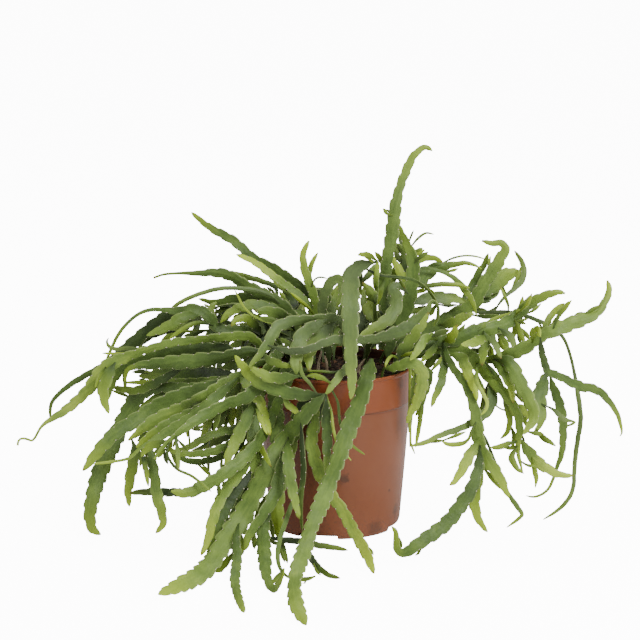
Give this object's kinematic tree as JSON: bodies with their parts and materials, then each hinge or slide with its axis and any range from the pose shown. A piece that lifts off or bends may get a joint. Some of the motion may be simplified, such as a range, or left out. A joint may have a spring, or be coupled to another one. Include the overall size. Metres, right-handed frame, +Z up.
{
  "type": "potted lepismium bolivianum",
  "caption": "Trailing forest cactus with flat, toothed, ribbon-like stems that branch from wiry joints and arch over the rim of a plain tapered plastic nursery pot.",
  "frame": {"origin": "centre of the pot's flat underside", "axes": "+Z up along the pot's axis, the front towards -Y, the longest stems spread along X"},
  "size_m": [0.4655, 0.3963, 0.2965],
  "materials": {
    "pot": "satin",
    "soil": "matte",
    "stem": "satin",
    "dry": "matte"
  },
  "bodies": {
    "root": {"pot": "pot", "soil": "soil", "spray_arch_left": "stem", "spray_column_left": "stem", "spray_column_middle": "stem", "spray_crown_left": "stem", "spray_crown_left_back": "stem", "spray_crown_middle": "stem", "spray_crown_right": "stem", "spray_fall_middle": "stem", "spray_far_1": "stem", "spray_far_2": "stem", "spray_far_3": "stem", "spray_far_4": "stem", "spray_far_5": "stem", "spray_far_6": "stem", "spray_far_7": "stem", "spray_front_hub": "stem", "spray_front_long": "stem", "spray_hang_front_left": "stem", "spray_hang_left": "stem", "spray_hang_left_front": "stem", "spray_hang_left_under": "stem", "spray_middle_fold": "stem", "spray_reach_left": "stem", "spray_right_arm": "stem", "spray_right_edge": "stem", "spray_right_fall": "stem", "spray_right_low": "stem", "spray_right_middle": "stem", "spray_right_up": "stem", "spray_wide_left": "stem", "dry_stub_1": "dry", "dry_stub_2": "dry", "dry_stub_3": "dry"}
  },
  "joints": []
}
